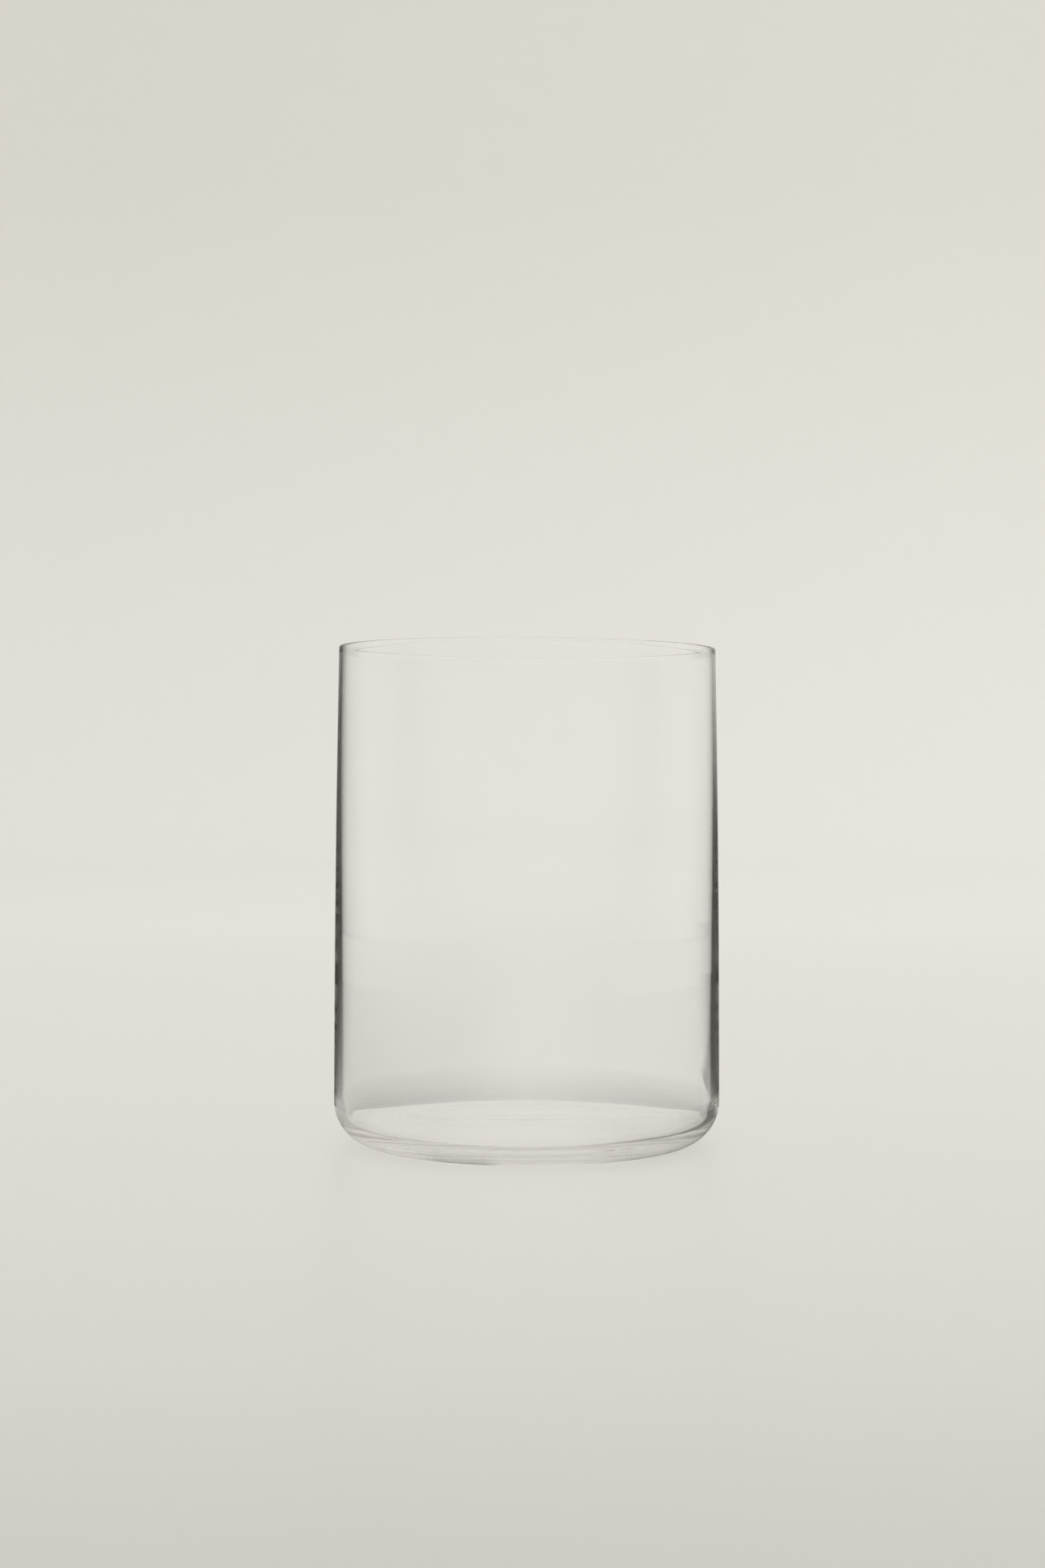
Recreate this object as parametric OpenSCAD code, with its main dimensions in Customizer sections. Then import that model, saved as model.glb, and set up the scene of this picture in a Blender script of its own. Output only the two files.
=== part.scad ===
// A thin clear drinking tumbler, blown as one piece of glass: a softly bowed
// wall that thins towards a fire-polished lip, a large rounded heel, a thick
// floor and a shallow push-up underneath, so that it stands on a narrow ring.
// The origin is the centre of the standing ring, with +Z up the glass.

/* [Overall] */
// Height from the table to the top of the lip
glass_h = 101.5; // [70:0.5:140]
// Outer diameter across the lip
rim_d = 77; // [65:0.5:95]
// How far the wall bows out beyond the lip, on each side
wall_bow = 0.85; // [0.3:0.05:3]

/* [Wall] */
// Thickness of the glass at the lip
lip_wall = 0.7; // [0.5:0.05:1.5]
// Thickness of the glass where the wall meets the heel
low_wall = 1.7; // [1.2:0.05:3]

/* [Base] */
// Outside radius of the rounded heel
heel_r = 8.8; // [6:0.1:14]
// Height of the hollow's floor above the table
floor_h = 3.6; // [2.8:0.1:5]
// Radius of the round inside, between the wall and the floor
inner_r = 3; // [1.5:0.1:5]

/* [Foot] */
// Width of the flat ring that the glass stands on
ring_w = 1.8; // [0.8:0.1:4]
// Height of the push-up at the middle of the underside
push_up = 1.2; // [0.4:0.1:2]

/* [Hidden] */

// What a cut runs past the surface that it opens
overrun = 1;
// Length of a step along the rounds of the heel and the hollow's corner
round_step = 0.3;
// Length of a step along the shallow dome underneath
dome_step = 2;
// Steps up the wall, over the lip and round the glass
wall_steps = 28;
lip_steps = 16;
turn_steps = 240;
glass_tint = [0.84, 0.87, 0.86, 0.45];

// A circle's count of steps follows from its radius and the length of a step
function steps(radius, step) = ceil(2 * PI * radius / step);
// Radius of an arc that starts square to a run and has left it by rise at its end
function arc_radius(run, rise) = (run * run + rise * rise) / (2 * rise);
function on_circle(x, z, radius, angle) = [x + radius * cos(angle), z + radius * sin(angle)];

rim_r = rim_d / 2;
belly_r = rim_r + wall_bow;

// The heel's arc outside springs from where the wall stands upright, and the corner's
// arc inside starts from there or further down
spring_z = heel_r;
ring_r = belly_r - heel_r;
corner_r = min(inner_r, spring_z - floor_h);
corner_x = belly_r - low_wall - corner_r;
corner_z = floor_h + corner_r;

// Outside of the wall: one long arc, upright at the heel and leaning in above.
// The lip is a half round as thick as the wall, and takes up that lean.
lip_r = lip_wall / 2;
lip_z = glass_h - lip_r;
bow_r = arc_radius(lip_z - spring_z, wall_bow);
bow_x = belly_r - bow_r;
lean = asin((lip_z - spring_z) / (bow_r - lip_r));
lip_centre = on_circle(bow_x, spring_z, bow_r - lip_r, lean);

// The push-up is a shallow dome that ends at the inside of the standing ring
push_r = ring_r - ring_w;
dome_r = arc_radius(push_r, push_up);

// A blown wall keeps its thickness low down, thins half-way up and stays even
// near the lip: both ends of this curve are level. The share runs from 0 at the
// heel to 1 at the lip.
function wall_at(share) = lip_wall + (low_wall - lip_wall) * pow(1 - share * share, 3);

function outer_wall(share) = on_circle(bow_x, spring_z, bow_r, lean * share);
function inner_wall(share) = outer_wall(share) - [wall_at(share), 0];

// The wall's section: up the outside, over the lip and down the inside
module wall_section() {
    polygon(concat(
        [for (i = [0 : wall_steps - 1]) outer_wall(i / wall_steps)],
        [for (i = [0 : lip_steps])
            on_circle(lip_centre[0], lip_centre[1], lip_r, lean + 180 * i / lip_steps)],
        [for (i = [wall_steps - 1 : -1 : 0]) inner_wall(i / wall_steps)]
    ));
}

// The base's section: the rounded heel, less the hollow's corner and floor, and
// less the push-up
module base_section() {
    difference() {
        union() {
            square([ring_r, spring_z]);
            intersection() {
                translate([ring_r, spring_z])
                circle(r = heel_r, $fn = steps(heel_r, round_step));
                translate([ring_r, 0])
                square([heel_r, spring_z]);
            }
        }
        translate([0, corner_z])
        square([corner_x + corner_r, spring_z - corner_z + overrun]);
        translate([0, floor_h])
        square([corner_x, corner_r + overrun]);
        translate([corner_x, corner_z])
        circle(r = corner_r, $fn = steps(corner_r, round_step));
        translate([0, push_up - dome_r])
        circle(r = dome_r, $fn = steps(dome_r, dome_step));
    }
}

// The whole section, turned once round the glass
module tumbler() {
    color(glass_tint)
    rotate_extrude($fn = turn_steps) {
        wall_section();
        base_section();
    }
}

tumbler();
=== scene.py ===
# %% [markdown]
# # A thin blown tumbler
# This lesson dresses one plain drinking glass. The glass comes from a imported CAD
# model, which fixes its size and its place. Blender adds what a flawless CAD solid
# lacks: the faint waves of blown glass, the optics of the material, and the light
# that lets a clear thing be seen at all.

# %% Load the frame
import math

import bpy
import numpy as np
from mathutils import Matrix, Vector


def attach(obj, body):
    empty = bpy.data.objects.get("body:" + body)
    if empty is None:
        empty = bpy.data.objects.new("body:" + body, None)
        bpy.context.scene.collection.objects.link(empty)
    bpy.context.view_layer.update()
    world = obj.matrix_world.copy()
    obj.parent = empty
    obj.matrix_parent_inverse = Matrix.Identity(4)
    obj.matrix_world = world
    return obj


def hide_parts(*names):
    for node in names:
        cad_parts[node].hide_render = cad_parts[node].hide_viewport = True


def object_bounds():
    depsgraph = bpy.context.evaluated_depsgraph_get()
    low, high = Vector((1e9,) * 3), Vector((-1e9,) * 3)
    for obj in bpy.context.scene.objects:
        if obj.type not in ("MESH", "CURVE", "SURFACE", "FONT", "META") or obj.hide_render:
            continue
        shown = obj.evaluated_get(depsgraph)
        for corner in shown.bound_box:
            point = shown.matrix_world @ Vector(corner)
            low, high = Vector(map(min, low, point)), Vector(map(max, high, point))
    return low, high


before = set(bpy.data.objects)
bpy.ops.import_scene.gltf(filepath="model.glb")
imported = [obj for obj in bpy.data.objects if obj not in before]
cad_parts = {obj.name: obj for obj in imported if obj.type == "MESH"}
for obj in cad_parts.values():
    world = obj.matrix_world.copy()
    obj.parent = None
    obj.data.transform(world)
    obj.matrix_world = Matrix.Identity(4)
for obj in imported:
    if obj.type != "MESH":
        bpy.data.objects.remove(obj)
cad_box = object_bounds()
scene = bpy.context.scene
MM = 0.001
print("CAD box in mm:", [[round(v / MM, 2) for v in corner] for corner in cad_box])

# %% [markdown]
# ## Helpers
# Colours are written as sRGB hex, as a picker shows them, and Blender's nodes want
# linear light, so one function turns the one into the other. One small function adds
# a node, sets it up and links it, which keeps each material short, and another one
# starts a material.

# %% Colour
def linear(hex_colour):
    """An sRGB hex colour as linear RGBA."""
    channels = [int(hex_colour[i:i + 2], 16) / 255 for i in (1, 3, 5)]
    curve = [c / 12.92 if c <= 0.04045 else ((c + 0.055) / 1.055) ** 2.4 for c in channels]
    return (*curve, 1.0)


print("#808080 in linear light:", round(linear("#808080")[0], 3))


# %% Nodes and materials
def add(tree, kind, inputs=None, **settings):
    """Adds a node. An input is a value to set, a socket to link, or a node, linked by its first output."""
    node = tree.nodes.new(kind)
    for name, value in settings.items():
        setattr(node, name, value)
    for name, value in (inputs or {}).items():
        if isinstance(value, bpy.types.Node):
            value = value.outputs[0]
        if isinstance(value, bpy.types.NodeSocket):
            tree.links.new(value, node.inputs[name])
        else:
            node.inputs[name].default_value = value
    return node


def new_material(name):
    """An empty node material and its output node."""
    material = bpy.data.materials.new(name)
    material.use_nodes = True
    material.node_tree.nodes.clear()
    print("material:", name)
    return material, material.node_tree.nodes.new("ShaderNodeOutputMaterial")


# %% [markdown]
# ## The camera
# The lip is seen a touch from below and the foot from above, and a reflection in
# the wall runs dead level at half the picture's height. So the camera looks level,
# from a height between the two. How flat the two rings look gives the distance, and
# the width of the glass in the picture then gives the lens. The glass stands a
# little right of the middle and leans by a tenth of a degree, so the camera stands a
# little to the left and rolls by as much.

# %% Place the camera
# Pixels are those of the whole picture, and metres and radians are Blender's own
PHOTO_W, PHOTO_H = 1280, 1920
FOCAL_PX = 2961
AXIS_PX = 645.6
CAMERA_AWAY = 0.496
CAMERA_UP = 0.0734
CAMERA_ROLL = math.radians(-0.09)
SENSOR_MM = 36

camera_data = bpy.data.cameras.new("camera")
camera_data.sensor_width = SENSOR_MM
camera_data.lens = FOCAL_PX / PHOTO_H * SENSOR_MM
camera = bpy.data.objects.new("camera", camera_data)
camera_x = -(AXIS_PX - PHOTO_W / 2) / FOCAL_PX * CAMERA_AWAY
camera.location = (camera_x, -CAMERA_AWAY, CAMERA_UP)
camera.rotation_euler = (math.pi / 2, CAMERA_ROLL, 0)
scene.collection.objects.link(camera)
scene.camera = camera
scene.view_settings.view_transform = "Standard"
print("lens:", round(camera_data.lens, 1), "mm")

# %% [markdown]
# ## Light that stays in the glass
# Inside a thick glass base, light glances from face to face many times before it
# gets out. Cycles gives up after twelve bounces, and what it gives up on comes out
# black. So the limits go up until the heel is as bright as its surroundings: forty
# bounces still leave it dark. Filter Glossy goes off as well. It saves noise by
# blurring reflections, and the sharp ones are what draws the lines of clear glass.

# %% Bounce limits
GLASS_BOUNCES = 200
scene.cycles.max_bounces = GLASS_BOUNCES
scene.cycles.transmission_bounces = GLASS_BOUNCES
scene.cycles.glossy_bounces = GLASS_BOUNCES
scene.cycles.blur_glossy = 0.0
print("bounces:", scene.cycles.max_bounces)

# %% [markdown]
# ## The section
# On the real glass the wall is thick where the molten glass cooled first, at the
# heel, and thins towards the lip, where a flame has rounded the cut edge. In Blender
# a turned form is a lathe: a section swept round an axis. It could be a curve with a
# Screw modifier, but a mesh made point by point can also carry the waves of blown
# glass, each surface with its own, and that is what bends the light.

# %% Sizes of the section
GLASS_H = cad_box[1][2]
BELLY_R = cad_box[1][0]
WALL_BOW = 0.85 * MM
LIP_WALL = 0.7 * MM
LOW_WALL = 1.7 * MM
HEEL_R = 8.8 * MM
FLOOR_H = 3.6 * MM
CORNER_R = 3.0 * MM
PUSH_UP = 1.2 * MM

LIP_R = LIP_WALL / 2
LIP_Z = GLASS_H - LIP_R
RING_R = BELLY_R - HEEL_R
CORNER_X = BELLY_R - LOW_WALL - CORNER_R
print("widest radius:", round(BELLY_R / MM, 2), "mm, foot radius:", round(RING_R / MM, 2), "mm")


# %% Arcs
def arc_radius(run, rise):
    """Radius of an arc that starts square to a run and has left it by rise at its end."""
    return (run * run + rise * rise) / (2 * rise)


def arc(x, z, radius, start, end, count):
    """Points of an arc round (x, z), from one angle in radians to another."""
    angles = np.linspace(start, end, count)
    return np.stack([x + radius * np.cos(angles), z + radius * np.sin(angles)], axis=1)


print("a heel of", round(HEEL_R / MM, 1), "mm has an arc", round(HEEL_R * math.pi / 2 / MM, 1), "mm long")

# %% [markdown]
# ## The wall's curve
# Seen from the side, the wall isn't straight: it bows out by less than a millimetre,
# is widest at the heel and leans in above. A curve could be drawn by eye, but one
# long arc is what the CAD has, so the two agree. The points crowd together low down,
# where the thickness changes fastest.

# %% Bow and lip
bow_r = arc_radius(LIP_Z - HEEL_R, WALL_BOW)
bow_x = BELLY_R - bow_r
lean = math.asin((LIP_Z - HEEL_R) / (bow_r - LIP_R))
lip_x = bow_x + (bow_r - LIP_R) * math.cos(lean)
lip_z = HEEL_R + (bow_r - LIP_R) * math.sin(lean)
CROWDING = 1.6
WALL_RINGS = 110
LIP_RINGS = 7


def on_wall(share):
    """Points of the outer wall, for shares from 0 at the heel to 1 at the lip."""
    angles = lean * share ** CROWDING
    return np.stack([bow_x + bow_r * np.cos(angles), HEEL_R + bow_r * np.sin(angles)], axis=1)


print("the wall is an arc of", round(bow_r, 2), "m and leans in by", round(math.degrees(lean), 2), "degrees")

# %% [markdown]
# ## The outside
# From the middle of the underside the outside runs out over the push-up, the shallow
# dome that lets the glass stand on a ring, then round the heel, up the wall and over
# the lip to its middle. The dome is drawn as a curve that is level at both ends, so
# that it melts into the ring with no edge, as hot glass does.

# %% Outside
DOME_RINGS = 60
HEEL_RINGS = 40


def outside():
    """From the middle of the underside out, round the heel and up to the lip's middle."""
    out = np.linspace(0, 1, DOME_RINGS)[:-1]
    dome = np.stack([out * RING_R, PUSH_UP * (1 - out ** 2) ** 2], axis=1)
    heel = arc(RING_R, HEEL_R, HEEL_R, -math.pi / 2, 0, HEEL_RINGS)
    wall = on_wall(np.linspace(0, 1, WALL_RINGS))
    lip = arc(lip_x, lip_z, LIP_R, lean, math.pi / 2, LIP_RINGS)
    return np.concatenate([dome, heel, wall[1:], lip[1:]])


outer_points = outside()
print("points outside:", len(outer_points))

# %% [markdown]
# ## The inside
# The inside follows the outside at the wall's thickness, which is even near the lip
# and thickens towards the heel, then turns a corner into the flat floor. Where an arc
# meets a flat, the curve stops short, and in glass that shows as a hard line. A
# subdivision surface would round it but also shrink the corner. An average of each
# point's neighbours along the section only evens it out, as melted glass does itself.

# %% Inside
CORNER_RINGS = 32
FLOOR_RINGS = 48
SOFT_BELOW = 4 * HEEL_R
SOFT_STEP = 0.5 * MM
SOFT_SPAN = 11
SOFT_PASSES = 2


def soften(points):
    """Evens out the low part of a section. It is mirrored over the axis, so its end stays level."""
    weights = np.ones(SOFT_SPAN) / SOFT_SPAN
    low = points[:, 1] < SOFT_BELOW
    keep, work = points[~low], points[low]
    run = np.concatenate([[0], np.cumsum(np.hypot(*np.diff(work, axis=0).T))])
    even = np.linspace(0, run[-1], int(run[-1] / SOFT_STEP))
    even_points = np.stack([np.interp(even, run, work[:, i]) for i in (0, 1)], axis=1)
    mirrored = even_points[-2::-1] * [-1, 1]
    double = np.concatenate([even_points, mirrored])
    for _ in range(SOFT_PASSES):
        means = [np.convolve(double[:, i], weights, mode="same") for i in (0, 1)]
        double[SOFT_SPAN:-SOFT_SPAN] = np.stack(means, axis=1)[SOFT_SPAN:-SOFT_SPAN]
    return np.concatenate([keep, double[:len(even_points)]])


def wall_at(share):
    """The wall's thickness, from 0 at the heel to 1 at the lip. The curve is level at both ends."""
    return LIP_WALL + (LOW_WALL - LIP_WALL) * (1 - share ** 2) ** 3


def inside():
    """From the lip's middle down the inner wall, round the corner to the floor's middle."""
    lip = arc(lip_x, lip_z, LIP_R, math.pi / 2, math.pi + lean, LIP_RINGS)
    share = np.linspace(1, 0, WALL_RINGS) ** CROWDING
    wall = on_wall(np.linspace(1, 0, WALL_RINGS))
    wall[:, 0] -= wall_at(share)
    corner = arc(CORNER_X, FLOOR_H + CORNER_R, CORNER_R, 0, -math.pi / 2, CORNER_RINGS)
    floor = np.stack([np.linspace(CORNER_X, 0, FLOOR_RINGS), np.full(FLOOR_RINGS, FLOOR_H)], axis=1)
    return np.concatenate([lip[1:], soften(np.concatenate([wall[1:], corner[1:], floor[1:]]))])


inner_points = inside()
print("points inside:", len(inner_points))

# %% [markdown]
# ## What the blower's breath leaves
# No blown glass is quite true. Its lip lies at a slight tilt, and both faces of the
# base roll in faint waves. A noise texture could move the points too, but a few sines
# across the base give the long, even roll of melted glass. They are hundredths of a
# millimetre high: far too small to see, and enough to bend a line.

# %% Waves and tilt
# The tilt is a drop for each metre towards +X. The powers say how soon the floor's
# waves fade up the wall, and how late the tilt sets in.
LIP_TILT = 0.0062
TILT_POWER = 3
FLOOR_WAVE = 0.02 * MM
PUSH_WAVE = 0.02 * MM
FADE_POWER = 6
WAVE_LENGTH = 17 * MM


def uneven(radius, height, angle, inner):
    """Heights of the turned glass with what a blown one is out of true."""
    x = radius * np.cos(angle)
    y = radius * np.sin(angle)
    k = 2 * math.pi / WAVE_LENGTH
    rise = np.clip(height / LIP_Z, 0, 1)
    # The odd numbers keep the waves of the two faces from lining up or repeating
    if inner:
        wave = np.sin(k * x + 1.1 * np.sin(0.6 * k * y)) + np.sin(0.7 * k * y + 2.0)
        height = height + FLOOR_WAVE * wave * (1 - rise) ** FADE_POWER
    else:
        wave = np.sin(0.8 * k * x + 0.5) * np.cos(0.6 * k * y) + np.sin(1.3 * k * y)
        height = height + PUSH_WAVE * wave * np.clip(1 - radius / RING_R, 0, 1)
    return height - LIP_TILT * (x + BELLY_R) * rise ** TILT_POWER


print("the lip drops by", round(LIP_TILT * 2 * BELLY_R / MM, 2), "mm across the glass")

# %% [markdown]
# ## Turning the section
# Each point of the section becomes a ring. The two shells join at the lip, and each
# ends in one point on the axis, so that the mesh is closed, which the light needs to
# tell inside from outside.

# %% Smooth pieces
def smooth_piece(name, vertices, faces):
    """A mesh object in the scene, shaded smooth."""
    mesh = bpy.data.meshes.new(name)
    mesh.from_pydata(vertices.tolist(), [], faces)
    mesh.polygons.foreach_set("use_smooth", [True] * len(mesh.polygons))
    mesh.update()
    piece = bpy.data.objects.new(name, mesh)
    scene.collection.objects.link(piece)
    print(f"{name}: {len(vertices)} points, {len(faces)} faces")
    return piece


# %% The lathe
TURNS = 240


def turned_rings(points, inner):
    """Rings of (x, y, z) points round Z, one for each (radius, height) point."""
    angle = np.linspace(0, 2 * math.pi, TURNS, endpoint=False)[None, :]
    radius = np.repeat(points[:, :1], TURNS, axis=1)
    height = uneven(radius, np.repeat(points[:, 1:], TURNS, axis=1), angle, inner)
    return np.stack([radius * np.cos(angle), radius * np.sin(angle), height], axis=2)


def lathe(name, outer, inner):
    """Sweeps (radius, height) points round Z. Both ends lie on the axis and close there."""
    outer_rings, inner_rings = turned_rings(outer, False), turned_rings(inner, True)
    ends = [outer_rings[0].mean(axis=0), inner_rings[-1].mean(axis=0)]
    rings = np.concatenate([outer_rings[1:], inner_rings[:-1]])
    vertices = np.concatenate([rings.reshape(-1, 3), ends])
    first, last = len(vertices) - 2, len(vertices) - 1
    turn = [(i, (i + 1) % TURNS) for i in range(TURNS)]
    faces = []
    for a in range(0, (len(rings) - 1) * TURNS, TURNS):
        faces += [(a + i, a + j, a + TURNS + j, a + TURNS + i) for i, j in turn]
    top = (len(rings) - 1) * TURNS
    for i, j in turn:
        faces.append((first, j, i))
        faces.append((last, top + i, top + j))
    return smooth_piece(name, vertices, faces)


tumbler = lathe("blown_tumbler", outer_points, inner_points)

# %% [markdown]
# ## Clear soda-lime glass
# Drinking glasses are soda-lime glass: sand, soda and lime, melted and blown. Its
# IOR is 1.52, and a flame has left its skin as smooth as a liquid, so the eye gets
# sharp mirrored lines and a wall that all but vanishes. Where it is thick it takes a
# little light, which is why an edge looks grey. A thin shell with a see-through
# shader could stand in for the wall, but not for the base. So the mesh is closed,
# its surface is a Principled shader, and a volume inside does the greying.

# %% Glass material
GLASS_IOR = 1.52
GLASS_GREY = "#bcbab3"
GREY_PER_METRE = 3.0


def soda_lime_glass():
    """Blown, fire-polished glass, with a little of the light lost on the way through."""
    material, output = new_material("blown_soda_lime_glass")
    tree = material.node_tree
    shader = add(tree, "ShaderNodeBsdfPrincipled", {
        "Base Color": linear("#ffffff"),
        "Roughness": 0.0,
        "IOR": GLASS_IOR,
        "Transmission Weight": 1.0,
    })
    volume = add(tree, "ShaderNodeVolumeAbsorption", {
        "Color": linear(GLASS_GREY),
        "Density": GREY_PER_METRE,
    })
    tree.links.new(shader.outputs["BSDF"], output.inputs["Surface"])
    tree.links.new(volume.outputs["Volume"], output.inputs["Volume"])
    return material


tumbler.data.materials.append(soda_lime_glass())
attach(tumbler, "root")
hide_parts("tumbler")
print("blown_tumbler replaces the CAD node tumbler")

# %% [markdown]
# ## The sweep
# The floor runs on into a wall that goes all the way round, so there is no horizon
# to cross the glass from any side. A plane with a bent edge would do for one view,
# and a swept sheet does for all. It lies a hair below the glass, so that no two
# faces share a plane.

# %% Sheets swept round the glass
def turned_sheet(name, points, turns, start=0.0, end=2 * math.pi):
    """An open sheet: (radius, height) points swept round Z between two angles."""
    angle = np.linspace(start, end, turns + 1)
    x = points[:, :1] * np.cos(angle)
    y = points[:, :1] * np.sin(angle)
    z = np.repeat(points[:, 1:], turns + 1, axis=1)
    vertices = np.stack([x, y, z], axis=2).reshape(-1, 3)
    faces = []
    for ring in range(len(points) - 1):
        a, b = ring * (turns + 1), (ring + 1) * (turns + 1)
        faces += [(a + i, b + i, b + i + 1, a + i + 1) for i in range(turns)]
    piece = smooth_piece(name, vertices, faces)
    return piece


# %% Floor and wall in one sweep
FLAT_RADII = (0.0, 0.02, 0.1, 0.3, 0.8)
SWEEP_FLAT = 1.6
SWEEP_BEND = 0.8
SWEEP_TOP = 1.25
SWEEP_TURNS = 96
BEND_RINGS = 40
CONTACT_GAP = 0.05 * MM

flat = [[r, 0.0] for r in FLAT_RADII]
bend = arc(SWEEP_FLAT, SWEEP_BEND, SWEEP_BEND, -math.pi / 2, 0, BEND_RINGS)
rim = [[SWEEP_FLAT + SWEEP_BEND, SWEEP_TOP]]
sweep = turned_sheet("sweep", np.concatenate([flat, bend, rim]), SWEEP_TURNS)
sweep.location.z = -CONTACT_GAP

# %% [markdown]
# ## Painted board, with painted shade and light
# The sweep is board with emulsion paint, rolled on and nearly matt, which gives the
# eye an even tone with a trace of sheen and no grain. In a studio the light on it is
# uneven, and soft lamps could do that here. But then they would show in the glass,
# so the light is even and the paint carries that light and shade as painted tones,
# by its own place in the room. The painted shade is darkest in front of the glass,
# where the picture's lower edge is, and the paint is palest far behind. To the left
# and high up it is painted a shade darker. Behind the camera it is painted pale once
# more, a painted light, because the glass mirrors that part and looks lighter for it.

# %% Stops on a ramp
def set_ramp(ramp, stops):
    """Puts (place from 0 to 1, share) stops on a colour ramp, as greys."""
    marks = ramp.color_ramp.elements
    while len(marks) < len(stops):
        marks.new(1.0)
    for mark, (place, share) in zip(marks, stops):
        mark.position = place
        mark.color = (share, share, share, 1)


# %% Board material
# The tones are painted shade and light: darker in front, to the left and high up, pale far behind and behind
# the camera
BOARD_SHADED, BOARD_PALE, BOARD_HIGH_SHADED = "#d5d3cd", "#f4f2ed", "#e9e7e0"
BOARD_LEFT_SHADED, BOARD_RIGHT = "#f9f9f9", "#ffffff"
BOARD_ROUGHNESS = 0.4
BOARD_SHINE = 0.3
NEAR_Y, FAR_Y = -1.3, 0.7
HIGH_Z = 1.3
SIDE_REACH = 0.5
# How far along Y, and the share of the paler paint there
TONES = (
    (NEAR_Y, 1.0), (-1.1, 0.9), (-0.7, 0.5), (-0.36, 0.0), (-0.28, 0.0),
    (-0.19, 0.36), (-0.09, 0.56), (0.08, 0.72), (0.65, 0.95), (FAR_Y, 1.0),
)
# The Mix node keeps sockets for each kind of data. These are its share and its colours.
MIX_SHARE, MIX_A, MIX_B, MIX_RESULT = 0, 6, 7, 2


def painted_board():
    """Emulsion paint on board, with painted shade and light that follow the place in the room."""
    material, output = new_material("matt_painted_board")
    tree = material.node_tree
    place = add(tree, "ShaderNodeNewGeometry").outputs["Position"]
    axes = add(tree, "ShaderNodeSeparateXYZ", {"Vector": place}).outputs
    depth = add(tree, "ShaderNodeMapRange", {"Value": axes["Y"], "From Min": NEAR_Y, "From Max": FAR_Y})
    height = add(tree, "ShaderNodeMapRange", {"Value": axes["Z"], "From Min": 0.0, "From Max": HIGH_Z})
    across = add(tree, "ShaderNodeMapRange", {
        "Value": axes["X"], "From Min": -SIDE_REACH, "From Max": SIDE_REACH,
    })
    tone = add(tree, "ShaderNodeValToRGB", {"Fac": depth})
    set_ramp(tone, [((y - NEAR_Y) / (FAR_Y - NEAR_Y), share) for y, share in TONES])
    floor = add(tree, "ShaderNodeMix", {
        MIX_SHARE: tone, MIX_A: linear(BOARD_SHADED), MIX_B: linear(BOARD_PALE),
    }, data_type="RGBA")
    wall = add(tree, "ShaderNodeMix", {
        MIX_SHARE: height, MIX_A: floor.outputs[MIX_RESULT], MIX_B: linear(BOARD_HIGH_SHADED),
    }, data_type="RGBA")
    shade = add(tree, "ShaderNodeMix", {
        MIX_SHARE: across, MIX_A: linear(BOARD_LEFT_SHADED), MIX_B: linear(BOARD_RIGHT),
    }, data_type="RGBA")
    paint = add(tree, "ShaderNodeMix", {
        MIX_SHARE: 1.0, MIX_A: wall.outputs[MIX_RESULT], MIX_B: shade.outputs[MIX_RESULT],
    }, data_type="RGBA", blend_type="MULTIPLY")
    shader = add(tree, "ShaderNodeBsdfPrincipled", {
        "Base Color": paint.outputs[MIX_RESULT],
        "Roughness": BOARD_ROUGHNESS,
        "Specular IOR Level": BOARD_SHINE,
    })
    tree.links.new(shader.outputs["BSDF"], output.inputs["Surface"])
    return material


sweep.data.materials.append(painted_board())

# %% [markdown]
# ## Felt that only the glass sees
# Clear glass against a pale sweep has no edge of its own. Photographers stand black
# flags round it: the wall bends and mirrors them into dark lines along both edges,
# and the middle stays clear. Such flags are covered in felt, because it is matt and
# gives the eye a plain soft black with no highlight. Here each flag has a strength
# that is listed by bearing, since a hard end would show as a hard line in the glass,
# and it may also weaken with height. Light Path tells how a ray has come. The felt
# answers only rays from a polished surface, so the floor and its shadow don't know
# of it, and a flag may ask for rays that were mirrored, or for short paths alone.

# %% Felt material
FELT = "#33322e"
# The longest path through both walls of the glass, and the faces of one wall
WALL_PATH = 5
ONE_WALL = 2
# Counts are whole numbers, so a test half-way between two of them is safe
HALF = 0.5


# The same felt also makes the painted shade under and behind the glass, further down
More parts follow.
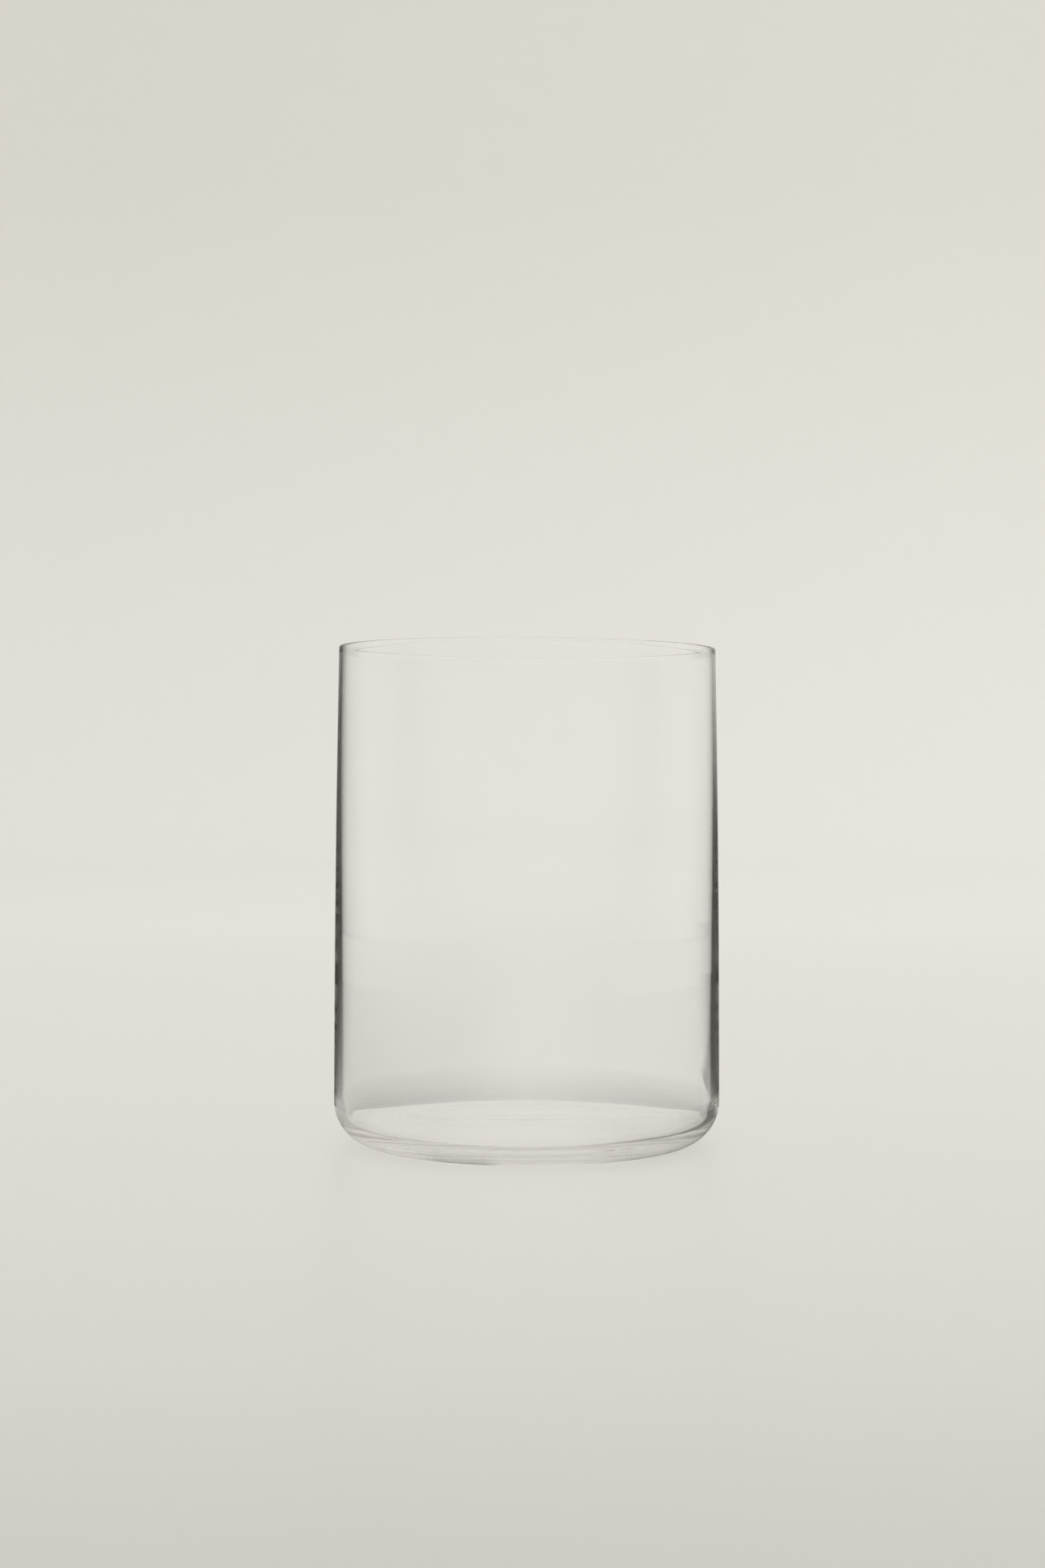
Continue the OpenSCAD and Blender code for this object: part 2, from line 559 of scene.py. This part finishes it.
def black_felt(name, stops, mirrored=0, longest=WALL_PATH, fall=None):
    """Felt with its strength as (bearing, share) stops, in degrees from +Y to either side.

    A ray has to be mirrored at least that often and to be no longer than longest. A fall
    is the height where the felt starts to weaken, the height where it ends, and the share left.
    """
    material, output = new_material(name)
    tree = material.node_tree
    place = add(tree, "ShaderNodeNewGeometry").outputs["Position"]
    axes = add(tree, "ShaderNodeSeparateXYZ", {"Vector": place}).outputs
    aside = add(tree, "ShaderNodeMath", {0: axes["X"]}, operation="ABSOLUTE")
    bearing = add(tree, "ShaderNodeMath", {0: aside, 1: axes["Y"]}, operation="ARCTAN2")
    half_turns = add(tree, "ShaderNodeMath", {0: bearing, 1: math.pi}, operation="DIVIDE")
    shown = add(tree, "ShaderNodeValToRGB", {"Fac": half_turns})
    set_ramp(shown, [(degrees / 180, share) for degrees, share in stops])

    path = add(tree, "ShaderNodeLightPath").outputs
    answers = []
    for depth, test, count in (
        ("Transmission Depth", "LESS_THAN", ONE_WALL + HALF),
        ("Glossy Depth", "LESS_THAN", HALF),
        ("Diffuse Depth", "LESS_THAN", HALF),
        ("Ray Depth", "LESS_THAN", longest + HALF),
        ("Glossy Depth", "GREATER_THAN", mirrored - HALF),
    ):
        answers.append(add(tree, "ShaderNodeMath", {0: path[depth], 1: count}, operation=test))
    # A ray that was mirrored has gone through one wall at most, and any other came straight
    clean = add(tree, "ShaderNodeMath", {0: answers[0], 1: answers[1]}, operation="MAXIMUM")
    factors = [path["Is Singular Ray"], clean, *answers[2:]]
    if fall:
        factors.append(add(tree, "ShaderNodeMapRange", {
            "Value": axes["Z"], "From Min": fall[0], "From Max": fall[1],
            "To Min": 1.0, "To Max": fall[2],
        }))
    for factor in factors:
        shown = add(tree, "ShaderNodeMath", {0: shown, 1: factor}, operation="MULTIPLY")
    felt = add(tree, "ShaderNodeBsdfDiffuse", {"Color": linear(FELT)})
    clear = add(tree, "ShaderNodeBsdfTransparent")
    mix = add(tree, "ShaderNodeMixShader", {0: shown, 1: clear, 2: felt})
    tree.links.new(mix.outputs[0], output.inputs["Surface"])
    return material


# %% A flag
def flag(name, section, turns, bearings, felt):
    """Felt on (radius, height) points, swept from one bearing to another, to +X above zero."""
    start, end = (math.radians(90 - bearing) for bearing in bearings)
    piece = turned_sheet(name, np.array(section), turns, start, end)
    piece.data.materials.append(felt)
    piece.visible_camera = False
    piece.visible_diffuse = False
    piece.visible_shadow = False
    return piece


# %% [markdown]
# ## Flags behind the glass
# Two upright flags stand behind the glass, one on each side of what the camera sees
# past it. They are full at 36 degrees, where the rays that pass close to an edge
# end up, and fade in from 11 degrees, so that each edge has a soft inner side. Both
# weaken with height, as the edges of the real glass do, and the right one more.
# Dark strips painted on the glass could draw the edges too, but they would stay put
# when it is seen from elsewhere, and the image of a flag moves as a real one does.

# %% Left and right flags
FLAG_AWAY = 0.45
FLAG_H = 0.3
FLAG_TURNS = 48
upright = [[FLAG_AWAY, 0.0], [FLAG_AWAY, FLAG_H]]
left_stops = [(11, 0), (15, 0.08), (19, 0.25), (24, 0.5), (30, 1), (36, 1), (48, 0.4), (75, 0)]
right_stops = [(11, 0), (17, 0.08), (24, 0.25), (30, 0.6), (36, 1), (48, 0.4), (75, 0)]
LEFT_FALL = (0.09, 0.125, 0.8)
RIGHT_FALL = (0.03, 0.12, 0.4)
flag("left_flag", upright, FLAG_TURNS, (-11, -75),
     black_felt("black_felt", left_stops, fall=LEFT_FALL))
flag("right_flag", upright, FLAG_TURNS, (11, 75),
     black_felt("black_felt_right", right_stops, fall=RIGHT_FALL))

# %% [markdown]
# ## The dark core of each edge
# At the very edge the light is caught in the wall: it is mirrored inside and leaves
# in quite another direction, towards the floor or the middle of the backdrop. A flag
# there would darken the clear middle too, so these answer mirrored rays alone. One
# lies on the floor all round. Two stand upright, a little nearer than the first pair.
# A last one answers straight rays too, so it lies well to the right of the glass. It
# deepens the right edge low down, where the real glass is darkest.

# %% Floor, side and mirror flags
FLAG_CLEAR = 0.07
FLAG_FLOOR_Z = 0.1 * MM
lying = [[FLAG_CLEAR, FLAG_FLOOR_Z], [FLAG_AWAY, FLAG_FLOOR_Z]]
floor_stops = [(12, 0.6), (20, 1), (34, 1), (60, 0.4), (140, 0.3), (160, 0)]
flag("floor_flag", lying, 2 * FLAG_TURNS, (-180, 180),
     black_felt("black_felt_floor", floor_stops, mirrored=1))

MIRROR_AWAY = FLAG_AWAY - 0.02
RIGHT_MIRROR_FALL = (0.05, 0.12, 0.45)
before = [[MIRROR_AWAY, 0.0], [MIRROR_AWAY, FLAG_H]]
mirror_stops = [(0, 0.5), (12, 0.6), (20, 1), (34, 1), (40, 0)]
flag("left_mirror_flag", before, FLAG_TURNS // 2, (-40, 0),
     black_felt("black_felt_left_mirror", mirror_stops, mirrored=1, fall=LEFT_FALL))
flag("right_mirror_flag", before, FLAG_TURNS // 2, (0, 40),
     black_felt("black_felt_right_mirror", mirror_stops, mirrored=1, fall=RIGHT_MIRROR_FALL))

# Two sheets at one height would hide each other, so this one lies higher than the floor flag
SIDE_X = 0.062
SIDE_Z = 2 * FLAG_FLOOR_Z
aside = [[0.0, SIDE_Z], [FLAG_AWAY, SIDE_Z]]
side_stops = [(28, 0), (34, 0.9), (45, 0.9), (65, 0)]
side_flag = flag("side_flag", aside, FLAG_TURNS // 2, (0, 90),
                 black_felt("black_felt_side", side_stops))
side_flag.location.x = SIDE_X

# %% [markdown]
# ## Painted shade in the heel
# The heel is grey where light that is trapped in it comes up from under the glass,
# and more so on the right. Two dark sheets lie in the gap between the glass and the
# board and take some of that light, however long its path: painted shade for the
# shadow under the glass, which only the glass sees. The thin dark line left of the
# middle is the gap's reflection in the heel, one bounce and no more, so a third
# sheet there paints that contact shadow for that one bounce alone.

# %% Flags under the foot
# Painted shade: dark sheets in the gap stand for the shadow under the glass
UNDER_Z = -0.4 * CONTACT_GAP
UNDER_OUT = 1.9 * BELLY_R
under = [[RING_R, UNDER_Z], [UNDER_OUT, UNDER_Z]]
right_foot_stops = [(40, 0), (60, 0.8), (140, 0.9), (165, 0)]
left_foot_stops = [(40, 0), (60, 0.35), (140, 0.35), (165, 0)]
flag("right_foot_painted_shade", under, FLAG_TURNS, (40, 165),
     black_felt("painted_shade_right_foot", right_foot_stops, mirrored=1, longest=GLASS_BOUNCES))
flag("left_foot_painted_shade", under, FLAG_TURNS, (-40, -165),
     black_felt("painted_shade_left_foot", left_foot_stops, mirrored=1, longest=GLASS_BOUNCES))

# A painted contact shadow in the gap left of the middle, seen in one bounce only
CONTACT_IN, CONTACT_OUT = RING_R - 4 * MM, RING_R + 6 * MM
contact = [[CONTACT_IN, UNDER_Z / 2], [CONTACT_OUT, UNDER_Z / 2]]
contact_stops = [(140, 0), (150, 1), (165, 1), (172, 0)]
flag("contact_painted_shadow", contact, FLAG_TURNS // 2, (-140, -172),
     black_felt("painted_contact_shadow", contact_stops, mirrored=1, longest=1))

# %% [markdown]
# ## Painted shade: the crescent behind the floor
# Behind the floor of the glass the wall shows a soft grey crescent, darkest at the
# floor, where the glass sees the shade on the table just behind it. Sheets on the
# table would paint that shade too, but as patches in a view from above. So two low
# strips stand upright, close round the back of the glass, and fade upwards: painted
# shade that only the glass sees, one all along the back, and a taller, weaker one to
# the left.

# %% Low flags
# Painted shade: low dark strips for the shade on the table behind the glass
BACK_R, BACK_H = 40.5 * MM, 11 * MM
LEFT_R, LEFT_H = 42 * MM, 40 * MM
BACK_FALL = (3.5 * MM, BACK_H, 0)
LOW_LEFT_FALL = (10 * MM, LEFT_H, 0)
low_back = [[BACK_R, 0.0], [BACK_R, BACK_H]]
low_left = [[LEFT_R, 0.0], [LEFT_R, LEFT_H]]
back_stops = [(0, 0.15), (25, 0.22), (55, 0.32), (75, 0.4), (100, 0)]
low_left_stops = [(2, 0), (15, 0.05), (40, 0.08), (58, 0.13), (75, 0.14), (100, 0)]
flag("low_back_painted_shade", low_back, FLAG_TURNS, (-100, 100),
     black_felt("painted_shade_low_back", back_stops, fall=BACK_FALL))
flag("low_left_painted_shade", low_left, FLAG_TURNS, (-2, -100),
     black_felt("painted_shade_low_left", low_left_stops, fall=LOW_LEFT_FALL))

# %% [markdown]
# ## Soft light from all over
# Clear glass wants light without a lamp to mirror, as in a white tent. An area lamp
# would put a bright window in the wall, so the world is the tent: plain white, at the
# strength where a colour renders as it is written. What the camera and the glass see
# of it is the tone of the sweep, so that nothing in the base flashes whiter than the
# room.

# %% The world
TENT_WHITE, TENT_SEEN = "#ffffff", "#dedbd5"
world = bpy.data.worlds.new("white_tent")
scene.world = world
world.use_nodes = True
tree = world.node_tree
tree.nodes.clear()
light = add(tree, "ShaderNodeBackground", {"Color": linear(TENT_WHITE), "Strength": 1.0})
seen = add(tree, "ShaderNodeBackground", {"Color": linear(TENT_SEEN), "Strength": 1.0})
path = add(tree, "ShaderNodeLightPath").outputs
looked_at = path["Is Camera Ray"]
for kind in ("Is Glossy Ray", "Is Transmission Ray"):
    looked_at = add(tree, "ShaderNodeMath", {0: looked_at, 1: path[kind]}, operation="MAXIMUM")
# A ray that has left a matt surface carries light to it, so it gets the white
no_matt = add(tree, "ShaderNodeMath", {0: path["Diffuse Depth"], 1: HALF}, operation="LESS_THAN")
looked_at = add(tree, "ShaderNodeMath", {0: looked_at, 1: no_matt}, operation="MULTIPLY")
tent = add(tree, "ShaderNodeMixShader", {0: looked_at, 1: light, 2: seen})
add(tree, "ShaderNodeOutputWorld", {"Surface": tent})
print("world:", world.name)
